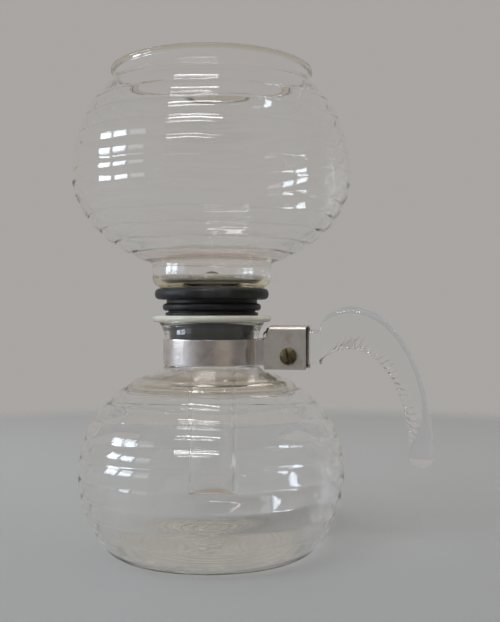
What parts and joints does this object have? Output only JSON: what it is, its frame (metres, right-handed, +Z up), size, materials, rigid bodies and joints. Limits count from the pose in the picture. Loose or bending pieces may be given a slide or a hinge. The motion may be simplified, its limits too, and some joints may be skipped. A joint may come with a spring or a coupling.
{
  "type": "siphon coffee maker",
  "caption": "Siphon coffee maker: ribbed glass bowl with tube on a rubber gasket in the neck of a ribbed glass pot, glass handle clamped to a steel neck band.",
  "frame": {"origin": "middle of the pot's flat base, on the table", "axes": "+Z up the vessels' common axis, +X along the handle, the screw head facing -Y"},
  "size_m": [0.1977, 0.1538, 0.2658],
  "materials": {
    "pot_glass": "clear, fire-polished",
    "bowl_glass": "clear, fire-polished",
    "filter_glass": "clear",
    "handle_glass": "clear, pressed",
    "gasket_rubber": "satin",
    "band_steel": "polished, worn",
    "bracket_steel": "dull, worn",
    "liner_rubber": "matte",
    "screw_brass": "tarnished"
  },
  "bodies": {
    "pot": {"lower_pot": "pot_glass", "neck_liner": "liner_rubber", "neck_band": "band_steel", "handle_bracket": "bracket_steel", "root_liner": "liner_rubber", "handle": "handle_glass", "screw_sleeve": "liner_rubber", "clamp_screw": "screw_brass", "nut_washer": "bracket_steel", "clamp_nut": "screw_brass"},
    "gasket": {"gasket": "gasket_rubber"},
    "bowl": {"upper_bowl": "bowl_glass", "siphon_tube": "bowl_glass"},
    "filter": {"filter_rod": "filter_glass"}
  },
  "joints": [
    {"name": "gasket_lift", "type": "slide", "parent": "pot", "child": "gasket", "axis": [0, 0, 1], "range_m": [0, 0.11]},
    {"name": "bowl_lift", "type": "slide", "parent": "gasket", "child": "bowl", "axis": [0, 0, 1], "range_m": [0, 0.12]},
    {"name": "filter_lift", "type": "slide", "parent": "bowl", "child": "filter", "axis": [0, 0, 1], "range_m": [0, 0.17]}
  ]
}
